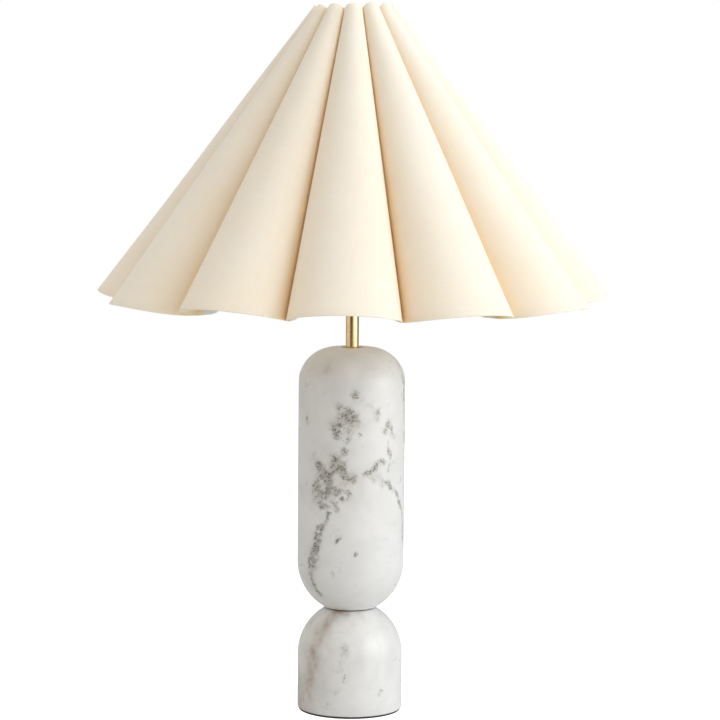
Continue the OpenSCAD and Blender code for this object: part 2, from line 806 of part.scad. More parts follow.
foot_pad();
lower_stone();
recess_washer();
lock_washer();
pipe_nut();
cord_bushing();
threaded_pipe();
stone_washer();
upper_stone();
seat_ring();
brass_rod();
check_ring();
harp_saddle();
harp_wire();
ferrule_left();
ferrule_right();
harp_stud();
socket_cap();
cap_screw();
socket_shell();
insulating_sleeve();
switch_block();
terminal_screws();
socket_insert();
centre_contact();
switch_stem();
turn_knob();
bulb_cap();
bulb_glass();
spider_frame();
hem_ring();
shade_gores();
finial();
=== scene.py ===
# A table lamp: two stacked marble stones, a slim brass rod, and a cone shade of
# stiff cream cloth pinched into round flutes. Metres, +Z up, the front looks along -Y.
import math
import bmesh
import bpy
import numpy as np
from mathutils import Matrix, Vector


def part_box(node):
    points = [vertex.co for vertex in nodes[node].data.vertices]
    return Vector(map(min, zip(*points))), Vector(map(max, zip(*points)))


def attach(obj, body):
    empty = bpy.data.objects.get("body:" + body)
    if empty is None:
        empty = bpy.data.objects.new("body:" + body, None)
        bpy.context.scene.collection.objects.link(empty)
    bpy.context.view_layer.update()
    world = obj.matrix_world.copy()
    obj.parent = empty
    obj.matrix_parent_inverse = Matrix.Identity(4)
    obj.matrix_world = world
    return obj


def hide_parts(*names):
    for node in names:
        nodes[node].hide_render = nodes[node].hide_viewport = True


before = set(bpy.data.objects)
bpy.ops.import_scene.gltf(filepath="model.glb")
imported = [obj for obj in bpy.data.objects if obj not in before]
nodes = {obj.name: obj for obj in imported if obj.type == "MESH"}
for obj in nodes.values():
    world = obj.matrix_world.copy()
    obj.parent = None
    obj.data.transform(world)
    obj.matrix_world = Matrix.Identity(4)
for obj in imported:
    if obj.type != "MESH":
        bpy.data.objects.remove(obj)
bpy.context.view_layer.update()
mm = 1000     # to a metre: strokes, strays and ripples are given in millimetres


# Shapes

def linked(name, data):
    # An object of the data, in the scene and at the origin
    made = bpy.data.objects.new(name, data)
    bpy.context.scene.collection.objects.link(made)
    return made


def gridFaces(nu, nv, wrapU=False, wrapV=False, turned=False):
    # Face (u, v) joins a grid's point (u, v) to u + 1 and v + 1. It faces the way of the
    # step along u crossed with the step along v, or the other way when turned
    u = np.arange(nu if wrapU else nu - 1)
    v = np.arange(nv if wrapV else nv - 1)
    u, v = (a.ravel() for a in np.meshgrid(u, v, indexing="ij"))
    u1, v1 = (u + 1) % nu, (v + 1) % nv
    faces = np.stack([u * nv + v, u1 * nv + v, u1 * nv + v1, u * nv + v1], 1)
    return faces[:, [0, 3, 2, 1]] if turned else faces


def repeated(faces, size, count):
    # The faces of count equal grids, each with size points, one after another
    return (faces[None] + (np.arange(count) * size)[:, None, None]).reshape(-1, 4)


def arrayMesh(name, points, faces, fields=None, uv=None):
    # Four corners a face, all set at once. Fields are numbers kept on the points, and
    # uv is each point's place on the flat cloth
    mesh = bpy.data.meshes.new(name)
    mesh.vertices.add(len(points))
    mesh.vertices.foreach_set("co", points.astype(np.float32).ravel())
    mesh.loops.add(faces.size)
    mesh.loops.foreach_set("vertex_index", faces.astype(np.int32).ravel())
    mesh.polygons.add(len(faces))
    mesh.polygons.foreach_set("loop_start", np.arange(0, faces.size, 4, dtype=np.int32))
    mesh.update(calc_edges=True)
    mesh.polygons.foreach_set("use_smooth", np.ones(len(faces), bool))
    for key, values in (fields or {}).items():
        layer = mesh.attributes.new(key, "FLOAT", "POINT")
        layer.data.foreach_set("value", values.astype(np.float32).ravel())
    if uv is not None:
        layer = mesh.uv_layers.new(name="cloth")
        layer.data.foreach_set("uv", uv[faces.ravel()].astype(np.float32).ravel())
    return linked(name, mesh)


def gridMesh(name, points, wrapU=False, wrapV=False, fields=None):
    # points is a grid (u, v, 3)
    faces = gridFaces(*points.shape[:2], wrapU, wrapV)
    return arrayMesh(name, points.reshape(-1, 3), faces, fields)


def closePoles(piece, reach=1e-6):
    # Points that fall together, as at a pole, become one
    work = bmesh.new()
    work.from_mesh(piece.data)
    bmesh.ops.remove_doubles(work, verts=work.verts, dist=reach)
    work.to_mesh(piece.data)
    work.free()
    return piece


def applied(piece):
    # The modifiers' result becomes the piece's own mesh
    shown = piece.evaluated_get(bpy.context.evaluated_depsgraph_get())
    mesh = bpy.data.meshes.new_from_object(shown)
    piece.modifiers.clear()
    piece.data = mesh
    return piece


def arc(centre, radius, start, end, count):
    # Points round a centre in the (r, z) plane, angles in degrees from +r
    a = np.radians(np.linspace(start, end, count))
    return np.stack([centre[0] + radius * np.cos(a), centre[1] + radius * np.sin(a)], 1)


def denser(profile, step):
    # The profile's own points and more between them, about a step apart, but none
    # within 0.3 of a step of its own
    run = np.concatenate([[0], np.cumsum(np.linalg.norm(np.diff(profile, axis=0), axis=1))])
    extra = np.linspace(0, run[-1], max(2, math.ceil(run[-1] / step)) + 1)
    near = np.abs(extra[:, None] - run[None, :]).min(1) < 0.3 * step
    at = np.union1d(run, extra[~near])
    return np.stack([np.interp(at, run, profile[:, 0]), np.interp(at, run, profile[:, 1])], 1)


def revolve(name, profile, steps, closed=True, fields=None):
    # r(s), z(s) carried round the axis: (r cos t, r sin t, z). The profile runs up
    # its outer side, so that its faces point out
    t = np.linspace(0, 2 * np.pi, steps, endpoint=False)[:, None]
    r, z = profile[:, 0][None, :], profile[:, 1][None, :]
    points = np.stack([r * np.cos(t), r * np.sin(t), z + 0 * t], -1)
    values = {key: f(points) for key, f in (fields or {}).items()}
    made = gridMesh(name, points, wrapU=True, wrapV=closed, fields=values)
    return made if closed else closePoles(made)


# Materials

def newMaterial(name, sockets):
    # A material with one principled shader, its fixed numbers set on its own sockets
    made = bpy.data.materials.new(name)
    made.use_nodes = True
    shader = made.node_tree.nodes["Principled BSDF"]
    for key, value in sockets.items():
        shader.inputs[key].default_value = value
    return made, made.node_tree, shader


def wired(tree, kind, inputs=None, **settings):
    # A node with its settings, and each input either linked or given its value
    made = tree.nodes.new("ShaderNode" + kind)
    for key, value in settings.items():
        setattr(made, key, value)
    for key, value in (inputs or {}).items():
        if isinstance(value, bpy.types.NodeSocket):
            tree.links.new(value, made.inputs[key])
        else:
            made.inputs[key].default_value = value
    return made


def maths(tree, operation, a, b=0.0, clamp=False):
    return wired(tree, "Math", {0: a, 1: b}, operation=operation, use_clamp=clamp).outputs[0]


def plus(tree, a, b):
    return maths(tree, "ADD", a, b)


def minus(tree, a, b):
    return maths(tree, "SUBTRACT", a, b)


def times(tree, a, b, clamp=False):
    return maths(tree, "MULTIPLY", a, b, clamp)


def noise(tree, where, scale, detail, rough, warp=0.0, stretch=None):
    # Smooth noise from 0 to 1 about 0.5, its grain 1 / scale metres across
    if stretch:
        where = wired(tree, "Mapping", {"Vector": where, "Scale": stretch}).outputs[0]
    made = wired(tree, "TexNoise", {"Vector": where, "Scale": scale, "Detail": detail,
                                    "Roughness": rough, "Distortion": warp})
    return made.outputs["Fac"]


def between(tree, value, low, high, outLow=0.0, outHigh=1.0):
    # A smooth step, from outLow where value is low to outHigh where it is high
    made = wired(tree, "MapRange", {"Value": value, "From Min": low, "From Max": high,
                                    "To Min": outLow, "To Max": outHigh},
                 interpolation_type="SMOOTHSTEP")
    return made.outputs["Result"]


def mixed(tree, share, a, b):
    # Colour a where the share is 0 and b where it is 1
    made = wired(tree, "Mix", {0: share}, data_type="RGBA")
    for index, value in ((6, a), (7, b)):
        if isinstance(value, bpy.types.NodeSocket):
            tree.links.new(value, made.inputs[index])
        else:
            made.inputs[index].default_value = (*value, 1)
    return made.outputs[2]


def blended(tree, share, a, b):
    # Number a where the share is 0 and b where it is 1
    return wired(tree, "Mix", {0: share, 2: a, 3: b}).outputs[0]


def bumped(tree, shader, height, strength, distance):
    made = wired(tree, "Bump", {"Height": height, "Strength": strength, "Distance": distance})
    tree.links.new(made.outputs[0], shader.inputs["Normal"])


def place(tree):
    return wired(tree, "TexCoord").outputs["Object"]


def kept(tree, name):
    # A field kept on the piece's points
    return wired(tree, "Attribute", attribute_name=name).outputs["Fac"]


marbleSet = {
    "white": (0.81, 0.81, 0.80),
    "cloud": (0.62, 0.63, 0.63),    # faint grey clouding under the surface
    "haze": (0.39, 0.385, 0.345),   # olive grey tint round the veins
    "speck": (0.13, 0.128, 0.105),  # the veins' dark grains
    "stainAndShade": (0.355, 0.285, 0.21),  # soft brown bands, and painted shade on the lower stone
    "rough": (0.26, 0.42),          # honed, a little smoother in places
    "cloudShare": 0.40,
    "stainAndShadeShare": 0.62,
    "hazeShare": 0.62,
    "speckShare": 0.78,
    "mostVein": 0.85,               # a stronger vein gets no more grains than this
    "lift": (0.26, 0.9, 0.6),       # shares of the vein, the grain and the clumps
    "lumps": 0.9,                   # how far the tint's edge strays with the mottling
    "bump": (0.05, 0.0004),         # strength and depth of the honed surface
    "sockets": {"Specular IOR Level": 0.5, "Coat Weight": 0.1, "Coat Roughness": 0.2,
                "Subsurface Weight": 0.10, "Subsurface Scale": 0.004,
                "Subsurface Radius": (1.0, 0.95, 0.85)},
    # Each noise's scale, detail, roughness and warp
    "noises": {
        "clouds": (14, 4, 0.55, 0.8), "mottle": (60, 4, 0.6, 0.5), "grain": (480, 3, 0.6, 0.3),
        "clumps": (170, 3, 0.6, 0.4), "squiggle": (130, 3, 0.65, 1.2), "breaks": (95, 2, 0.5),
        "rough": (45, 4, 0.6), "bump": (520, 3, 0.6),
    },
    # Each smooth step's start and end, and its two results where they aren't 0 and 1
    "steps": {
        "clouds": (0.40, 0.70), "mottle": (0.45, 0.75, 0.0, 0.16), "grains": (0.925, 1.10),
        "nearVein": (0.13, 0.55), "squiggle": (0.050, 0.006), "breaks": (0.46, 0.60),
        "squiggleVein": (0.20, 0.60), "tintVein": (0.0, 0.30), "tint": (0.0, 1.15),
        "stainAndShade": (0.25, 0.70, 0.45, 1.0), "rough": (0.3, 0.7),
    },
}


def marbleMaterial():
    m = marbleSet
    noises, steps = m["noises"], m["steps"]
    made, tree, shader = newMaterial("marble", m["sockets"])
    where = place(tree)
    veins = kept(tree, "veins")
    stainAndShade = kept(tree, "stainAndShade")
    clouds = between(tree, noise(tree, where, *noises["clouds"]), *steps["clouds"])
    mottle = noise(tree, where, *noises["mottle"])
    grain = noise(tree, where, *noises["grain"])
    clumps = noise(tree, where, *noises["clumps"])
    # Dark grains show where the grain, lifted by the vein's strength, passes a level
    veinShare, grainShare, clumpShare = m["lift"]
    lifted = plus(tree, times(tree, maths(tree, "MINIMUM", veins, m["mostVein"]), veinShare),
                  plus(tree, times(tree, grain, grainShare), times(tree, clumps, clumpShare)))
    near = between(tree, veins, *steps["nearVein"])
    specks = times(tree, between(tree, lifted, *steps["grains"]), near)
    # Short dark squiggles follow the middle level of a warped noise, here and there
    line = maths(tree, "ABSOLUTE", minus(tree, noise(tree, where, *noises["squiggle"]), 0.5))
    broken = between(tree, noise(tree, where, *noises["breaks"]), *steps["breaks"])
    squiggle = times(tree, between(tree, line, *steps["squiggle"]), broken)
    squiggle = times(tree, squiggle, between(tree, veins, *steps["squiggleVein"]))
    specks = maths(tree, "MAXIMUM", specks, squiggle)
    # The tint about them is wider and softer
    lumpy = times(tree, minus(tree, mottle, 0.5), m["lumps"])
    around = between(tree, veins, *steps["tintVein"])
    tint = times(tree, between(tree, plus(tree, veins, lumpy), *steps["tint"]), around)
    # Brown stains, with painted shade where the lower stone's strokes stand in for shadow
    stainedAndShaded = times(tree, stainAndShade, between(tree, mottle, *steps["stainAndShade"]))
    colour = mixed(tree, times(tree, clouds, m["cloudShare"]), m["white"], m["cloud"])
    colour = mixed(tree, between(tree, mottle, *steps["mottle"]), colour, m["cloud"])
    colour = mixed(tree, times(tree, stainedAndShaded, m["stainAndShadeShare"], True), colour, m["stainAndShade"])
    colour = mixed(tree, times(tree, tint, m["hazeShare"], True), colour, m["haze"])
    colour = mixed(tree, times(tree, specks, m["speckShare"], True), colour, m["speck"])
    tree.links.new(colour, shader.inputs["Base Color"])
    rough = between(tree, noise(tree, where, *noises["rough"]), *steps["rough"], *m["rough"])
    tree.links.new(rough, shader.inputs["Roughness"])
    bumped(tree, shader, noise(tree, where, *noises["bump"]), *m["bump"])
    return made


metalSet = {
    "patches": (60, 4, 0.6, 0.5),      # noise of the dull patches
    "dulled": (0.35, 0.8, 0.0, 0.55),  # the patches' step, and the tarnish they get
    "lines": (2600, 2, 0.5, 0.0),      # noise of the fine lines
    "shares": (0.6, 0.4),              # of patches and of lines in the roughness
    "roughStep": (0.3, 0.7),
    "depth": 0.0001,
}
# Each metal's colour, tarnish, roughness from and to, strength of its lines, and how
# far they are squeezed along X, Y and Z: a small number draws them out that way
metals = {
    "brass": ((0.82, 0.61, 0.34), (0.66, 0.46, 0.22), (0.09, 0.18), 0.07, (1, 1, 0.06)),
    "brassTurned": ((0.78, 0.57, 0.30), (0.62, 0.43, 0.21), (0.16, 0.30), 0.12, (0.06, 0.06, 1)),
    "steel": ((0.60, 0.61, 0.62), (0.50, 0.50, 0.50), (0.22, 0.38), 0.12, (0.2, 0.2, 1)),
    "capAluminium": ((0.78, 0.78, 0.79), (0.70, 0.70, 0.71), (0.25, 0.40), 0.10, (0.1, 0.1, 1)),
}


def metalMaterial(name, colour, tarnish, rough, strength, along):
    # Metal with fine lines drawn along one axis, and duller in soft patches
    m = metalSet
    made, tree, shader = newMaterial(name, {"Metallic": 1.0})
    where = place(tree)
    patches = noise(tree, where, *m["patches"])
    lines = noise(tree, where, *m["lines"], along)
    tint = mixed(tree, between(tree, patches, *m["dulled"]), colour, tarnish)
    tree.links.new(tint, shader.inputs["Base Color"])
    patchShare, lineShare = m["shares"]
    uneven = plus(tree, times(tree, patches, patchShare), times(tree, lines, lineShare))
    tree.links.new(between(tree, uneven, *m["roughStep"], *rough), shader.inputs["Roughness"])
    bumped(tree, shader, lines, strength, m["depth"])
    return made


plainSet = {
    "mottleScale": 0.12,      # of the grain's scale
    "mottle": (4, 0.6, 0.4),  # the noises' detail, roughness and warp
    "grain": (3, 0.65),
    "darkStep": (0.3, 0.75),
    "roughStep": (0.3, 0.7),
    "roughStray": 0.07,       # how far the roughness goes up and down
    "depth": 0.5,             # of the grain, as a share of its size
}
# Each finish's colour, darker colour, roughness, scale and strength of its grain, and
# the shader's other sockets
plains = {
    "padRubber": ((0.045, 0.040, 0.036), (0.028, 0.026, 0.024), 0.8, 1400, 0.5, {}),
    "washerRubber": ((0.20, 0.19, 0.17), (0.14, 0.13, 0.115), 0.75, 1200, 0.4, {}),
    "sleeveBoard": ((0.25, 0.17, 0.10), (0.17, 0.11, 0.065), 0.85, 900, 0.5, {}),
    "blackPlastic": ((0.020, 0.019, 0.018), (0.012, 0.012, 0.011), 0.38, 1100, 0.12,
                     {"Coat Weight": 0.2}),
    "paintedWire": ((0.80, 0.75, 0.64), (0.72, 0.66, 0.54), 0.42, 700, 0.15,
                    {"Coat Weight": 0.25}),
    "whiteGlass": ((0.86, 0.85, 0.82), (0.84, 0.83, 0.80), 0.28, 400, 0.03,
                   {"Coat Weight": 0.6, "Subsurface Weight": 0.2, "Subsurface Scale": 0.004}),
    "threadCotton": ((0.84, 0.76, 0.62), (0.74, 0.65, 0.50), 0.85, 3000, 0.5, {}),
}


def plainMaterial(name, colour, darker, rough, scale, strength, sockets):
    # A matt or satin solid colour with a fine grain and soft mottling
    p = plainSet
    made, tree, shader = newMaterial(name, sockets)
    where = place(tree)
    mottle = noise(tree, where, scale * p["mottleScale"], *p["mottle"])
    fine = noise(tree, where, scale, *p["grain"])
    tree.links.new(mixed(tree, between(tree, mottle, *p["darkStep"]), colour, darker),
                   shader.inputs["Base Color"])
    stray = p["roughStray"]
    tree.links.new(between(tree, fine, *p["roughStep"], rough - stray, rough + stray),
                   shader.inputs["Roughness"])
    bumped(tree, shader, fine, strength, p["depth"] / scale)
    return made


clothSet = {
    "warm": (0.855, 0.738, 0.620),
    "pale": (0.885, 0.788, 0.698),
    "lining": (0.95, 0.90, 0.80),
    "liningWarm": (0.92, 0.86, 0.74),
    "edge": (0.91, 0.83, 0.70),
    "crease": (0.98, 0.64, 0.30),  # painted warm shade and bounce glow where two flutes meet
    "creaseShare": 0.88,
    "thread": 0.00042,             # one thread's pitch
    "threadShare": 0.5,            # of the weave in the bump, beside the slubs
    "depth": 0.00012,
    "slubs": (1500, 2, 0.5, 0.0),  # noise of the threads' own unevenness
    "slubStretch": 0.02,           # a small number draws it out along the thread
    "slubTone": (0.35, 0.65, 0.0, 0.55),
    "broad": (9, 3, 0.5),          # noise of the slow changes from place to place
    "broadTone": (0.3, 0.7, 0.0, 0.45),
    "sockets": {"Specular IOR Level": 0.25, "Sheen Weight": 0.12, "Sheen Roughness": 0.4,
                "Subsurface Weight": 0.7, "Subsurface Scale": 0.004,
                "Subsurface Radius": (1.0, 0.75, 0.5)},
}
# Each side's two colours, strength of its weave, and roughness
cloths = {
    "shadeCloth": ("pale", "warm", 0.35, 0.9),
    "shadeLining": ("lining", "liningWarm", 0.15, 0.6),
    "shadeEdge": ("edge", "warm", 0.2, 0.9),
}


def clothMaterial(name, pale, warm, strength, rough):
    # Plain weave from the cloth's own UV in metres: warp and weft take turns on top,
    # as sin(pi u / thread) sin(pi v / thread)
    c = clothSet
    made, tree, shader = newMaterial(name, {**c["sockets"], "Roughness": rough})
    flat = wired(tree, "UVMap", uv_map="cloth").outputs[0]
    split = wired(tree, "SeparateXYZ", {0: flat})
    turn = math.pi / c["thread"]
    across = maths(tree, "SINE", times(tree, split.outputs[0], turn))
    along = maths(tree, "SINE", times(tree, split.outputs[1], turn))
    threads = times(tree, across, along)
    slubU = noise(tree, flat, *c["slubs"], (c["slubStretch"], 1, 1))
    slubV = noise(tree, flat, *c["slubs"], (1, c["slubStretch"], 1))
    slubs = times(tree, plus(tree, slubU, slubV), 0.5)
    broad = noise(tree, flat, *c["broad"])
    tone = plus(tree, between(tree, slubs, *c["slubTone"]), between(tree, broad, *c["broadTone"]))
    # The crease tint is painted warm shade, deepest where two flutes meet
    creaseShade = kept(tree, "creaseShade")
    colour = mixed(tree, times(tree, creaseShade, c["creaseShare"]),
                   mixed(tree, tone, c[pale], c[warm]), c["crease"])
    tree.links.new(colour, shader.inputs["Base Color"])
    height = plus(tree, times(tree, threads, c["threadShare"]), slubs)
    bumped(tree, shader, height, strength, c["depth"])
    return made


materials = {"marble": marbleMaterial()}
for make, rows in ((metalMaterial, metals), (plainMaterial, plains), (clothMaterial, cloths)):
    for key, row in rows.items():
        materials[key] = make(key, *row)
print("materials made:", len(materials))


# The stones

stoneSet = {
    "steps": 262,         # round the axis
    "spacing": 0.0011,    # between the points of the outer faces
    "roundPoints": 60,    # of each large round of the outline
    "flat": 0.025,        # radius of the flats where the stones meet
    "flatInset": 0.0011,  # from that radius in to the centre of the bevel round it
    "flatBevel": 0.0009,
    "flatTurn": 50,       # degrees, where the ball goes over into that bevel
    "ballEnd": 1.2,       # degrees that the ball stops short of the flat
    "edgePoints": 4,      # of each small bevel
    "bore": 0.00536,
    "chamfer": 0.0004,    # at the mouths of the bore
    "veinCrumble": 1.0,   # how far strokes are moved about and broken up
    "stainAndShadeCrumble": 0.45,
}
# Strokes of vein, and of stain and painted shade: points (round the stone from the front,
# height) in millimetres, then the stroke's half width and its strength. The wanderers are a seed,
# a count, the lowest and highest points, and how far they stay from the front
lowerSet = {
    "footBevel": 0.001,
    "footPoints": 6,
    "recess": (0.029, 0.016),  # radius and depth of the hollow underneath
    "recessBevel": 0.001,
    "recessLip": 0.0005,
    "spacing": 0.003,          # between the points of the inner faces
    # The cord inlet at the back: radii of the hole and of the bushing's seat, where the
    # seat starts in Y, the height, the cutter's spare length and its steps round
    "inlet": (0.0047, 0.0068, 0.0499, 0.011, 0.004, 64),
    "veins": [
        ([(-2, 69), (-5, 63)], 5.6, 0.35),
        ([(-5, 55), (-8, 49)], 5.0, 0.34),
        ([(-3, 41), (-4, 38)], 4.0, 0.34),
        ([(-10, 29), (-13, 26)], 4.8, 0.33),
        ([(34, 27), (31, 24)], 3.0, 0.42),
        ([(-18, 14), (-20, 12)], 4.6, 0.26),
    ],
    "stainAndShades": [
        # The bands down the left side, to the lower left corner, are brown marble bands made
        # wider and darker as painted shade on the stone's shaded left side
        ([(-22, 104), (-29, 94), (-34, 82), (-37, 68), (-39, 54), (-42, 40), (-50, 26), (-59, 8)],
         9.0, 1.1),
        ([(-34, 84), (-39, 60), (-43, 36), (-52, 12)], 13.0, 0.75),
        # Painted contact shadow under the upper stone's edge, darkest on the left
        ([(-30, 101), (-16, 104), (-4, 104)], 5.5, 1.5),
        ([(-64, 32), (-62, 5)], 9.0, 0.9),
        ([(14, 100), (24, 98)], 6.0, 0.3),
        ([(-62, 92), (-52, 74)], 7.0, 0.35),
        ([(8, 100), (0, 86)], 6.0, 0.22),
    ],
    "veinWanderers": (11, 3, 4, 96, 85),
    "stainAndShadeWanderers": (5, 3, 6, 90, 90),
}
upperSet = {
    "shoulder": 0.0355,             # radius of the crown's round edge
    "ringSeat": (0.01115, 0.0031),  # radius and depth of the brass ring's seat
    "spacing": 0.006,
    "veins": [
        ([(3, 318), (8, 310)], 3.4, 0.62),
        ([(-10, 306), (-4, 301), (2, 300)], 4.2, 0.55),
        ([(0, 296), (-6, 291), (-11, 283)], 7.4, 0.85),
        ([(-2, 279), (0, 275)], 3.8, 0.8),
        ([(11, 277), (11, 276)], 1.8, 0.75),
        ([(15, 308), (22, 306), (27, 299), (26, 292)], 5.0, 0.36),
        ([(40, 288), (44, 282), (45, 274)], 3.4, 0.62),
        ([(37, 286), (36, 279)], 2.6, 0.4),
        ([(43, 270), (43, 260), (41, 252), (42, 243)], 1.7, 0.72),
        ([(16, 241), (24, 246), (33, 251)], 3.0, 0.8),
        ([(22, 238), (34, 232)], 5.5, 0.42),
        ([(36, 232), (44, 226), (53, 219), (60, 210), (66, 200), (70, 188), (72, 168)], 2.3, 0.8),
        ([(-5, 262), (-10, 257), (-16, 253), (-18, 248)], 3.4, 0.75),
        ([(-6, 248), (-12, 245), (-18, 240)], 4.6, 0.95),
        ([(-6, 246), (-4, 240), (2, 236)], 3.4, 0.9),
        ([(-29, 246), (-25, 239), (-31, 231), (-36, 222)], 6.0, 0.75),
        ([(-18, 238), (-19, 229), (-22, 221), (-31, 219)], 5.2, 0.85),
        ([(-12, 222), (-6, 223), (-1, 220)], 4.2, 0.8),
        ([(-35, 213), (-30, 209), (-23, 207)], 3.4, 0.62),
        ([(-17, 213), (-12, 205)], 3.2, 0.92),
        ([(-7, 215), (-6, 214)], 2.2, 0.85),
        ([(-20, 200), (-22, 194), (-28, 187), (-33, 182)], 2.2, 0.85),
        ([(-34, 178), (-35, 166), (-37, 157), (-40, 150)], 4.4, 1.15),
        ([(-41, 148), (-43, 137), (-40, 128), (-36, 118)], 2.6, 0.95),
        ([(-9, 178), (-11, 174)], 2.2, 0.72),
        ([(7, 163), (8, 162)], 2.4, 0.6),
        ([(-15, 143), (-14, 140)], 2.4, 0.42),
        ([(-47, 298), (-49, 288)], 4.0, 0.3),
        ([(-38, 260), (-41, 252)], 4.0, 0.3),
    ],
    "stainAndShades": [
        ([(-25, 341), (-27, 338)], 3.6, 0.42),
        ([(-18, 246), (-26, 226), (-6, 232)], 11.0, 0.5),
        ([(-4, 292), (6, 288)], 10.0, 0.35),
        ([(10, 232), (0, 214)], 8.0, 0.22),
        ([(-36, 172), (-42, 132)], 6.0, 0.4),
    ],
    "veinWanderers": (3, 5, 112, 340, 95),
    "stainAndShadeWanderers": (8, 4, 115, 330, 90),
}
wanderSet = {
    "round": 320,  # the way round a stone, in millimetres
    "points": 7,
    "drift": 5,    # sideways from point to point, at most
    "scatter": 5,
    "width": (1.6, 5.0),
    "strength": (0.35, 0.8),
}
strokeSet = {
    "seeds": (21, 22, 23),          # of the shifts round and up, and of the strength
    "shift": 1.2,
    "shiftSizes": (17, 9, 6, 3.5),  # of the ripples
    "ragged": 0.30,
    "raggedSizes": (10, 5.5, 3.5),
    "raggedRange": (0.15, 1.6),
    "fringe": 0.4,                  # strength of the soft fringe
    "fringeWidth": 2.2,             # against the stroke's own
    "whole": 1.2,                   # what core and fringe together are divided by
}


def wanderers(seed, count, low, high, clear):
    # Strokes for the sides and back: each climbs and sways at random from its seed,
    # and starts clear of the front
    w = wanderSet
    dice = np.random.default_rng(seed)
    made = []
    for _ in range(count):
        start = dice.uniform(clear, w["round"] - clear)
        drift = dice.uniform(-w["drift"], w["drift"])
        sway = np.cumsum(dice.normal(drift, w["scatter"], w["points"]))
        rise = np.sort(dice.uniform(low, high, w["points"]))
        width = dice.uniform(*w["width"])
        made.append((list(zip(start + sway, rise)), width, dice.uniform(*w["strength"])))
    return made


def ripples(points, seed, sizes, each=5):
    # Waves sin(2 pi p . d / size) in random directions d, some for each size, in
    # proportion to it
    dice = np.random.default_rng(seed)
    total = np.zeros(points.shape[:-1])
    for size in sizes:
        for _ in range(each):
            way = dice.normal(size=3)
            way /= np.linalg.norm(way)
            total += size / sizes[0] * np.sin(points @ way * 2 * mm * np.pi / size
                                              + dice.uniform(0, 6.3))
    return total / each ** 0.5


def strokeField(points, strokes, girth, crumble):
    # The strongest of the strokes at each point, each falling off with d, distance
    # over width, as (exp(-d^2) + 0.4 exp(-(d / 2.2)^2)) / 1.2. Distance is taken on the
    # unrolled side, from a place moved about by ripples, the more so the larger crumble
    s = strokeSet
    roundSeed, highSeed, raggedSeed = s["seeds"]
    shift = s["shift"] * crumble
    around = np.arctan2(points[..., 0], -points[..., 1]) * girth / (2 * np.pi) * mm
    around = around + shift * ripples(points, roundSeed, s["shiftSizes"])
    high = points[..., 2] * mm + shift * ripples(points, highSeed, s["shiftSizes"])
    ragged = 1 + s["ragged"] * crumble * ripples(points, raggedSeed, s["raggedSizes"])
    whole = girth * mm
    tiny = 1e-9
    best = np.zeros(around.shape)
    for path, width, strength in strokes:
        for (u0, v0), (u1, v1) in zip(path[:-1], path[1:]):
            du = (around - u0 + whole / 2) % whole - whole / 2
            dv = high - v0
            run = max((u1 - u0) ** 2 + (v1 - v0) ** 2, tiny)
            t = np.clip((du * (u1 - u0) + dv * (v1 - v0)) / run, 0, 1)
            gone = (du - t * (u1 - u0)) ** 2 + (dv - t * (v1 - v0)) ** 2
            core = np.exp(-gone / width ** 2)
            fringe = np.exp(-gone / (s["fringeWidth"] * width) ** 2)
            best = np.maximum(best, strength * (core + s["fringe"] * fringe) / s["whole"])
    return best * np.clip(ragged, *s["raggedRange"])


def stoneFields(own, girth):
    # What the marble reads on a stone's points: its own strokes and the wanderers
    def field(kind, crumble):
        strokes = own[kind + "s"] + wanderers(*own[kind + "Wanderers"])
        return lambda points: strokeField(points, strokes, girth, crumble)
    return {"veins": field("vein", stoneSet["veinCrumble"]),
            "stainAndShade": field("stainAndShade", stoneSet["stainAndShadeCrumble"])}


def lowerStone():
    # A short cylinder with a half ball on top, cut flat, with a recess underneath. The
    # ball's outline is r = side cos a, z = ballZ + side sin a
    s, own = stoneSet, lowerSet
    low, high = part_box("lower_stone")
    side, foot, top = high.x, low.z, high.z
    ballZ = top - math.sqrt(side ** 2 - s["flat"] ** 2)
    lean = math.degrees(math.asin((top - ballZ) / side))
    footBevel, flatBevel = own["footBevel"], s["flatBevel"]
    outer = np.vstack([
        arc((side - footBevel, foot + footBevel), footBevel, -90, 0, own["footPoints"]),
        arc((0, ballZ), side, 0, lean - s["ballEnd"], s["roundPoints"]),
        arc((s["flat"] - s["flatInset"], top - flatBevel), flatBevel,
            s["flatTurn"], 90, s["edgePoints"]),
    ])
    reach, deep = own["recess"]
    roof, bevel, lip = foot + deep, own["recessBevel"], own["recessLip"]
    bore, chamfer = s["bore"], s["chamfer"]
    inner = np.array([
        (bore + chamfer, top), (bore, top - chamfer), (bore, roof), (reach - bevel, roof),
        (reach, roof - bevel), (reach, foot + lip), (reach + lip, foot)])
    profile = np.vstack([denser(outer, s["spacing"]), denser(inner, own["spacing"])])
    made = revolve("lowerStone", profile, s["steps"], fields=stoneFields(own, 2 * np.pi * side))
    hole, seat, seatY, inletZ, spare, steps = own["inlet"]
    cut = np.array([(0, reach - spare), (hole, reach - spare), (hole, seatY),
                    (seat, seatY), (seat, side + spare), (0, side + spare)])
    cutter = revolve("inletCutter", cut, steps, closed=False)
    # The cutter was turned about Z, and is laid along +Y at the inlet's height
    cutter.data.transform(Matrix.Rotation(math.radians(-90), 4, "X"))
    cutter.data.transform(Matrix.Translation((0, 0, inletZ)))
    carve = made.modifiers.new("inlet", "BOOLEAN")
    carve.object, carve.operation, carve.solver = cutter, "DIFFERENCE", "EXACT"
    applied(made)
    bpy.data.objects.remove(cutter)
    return made


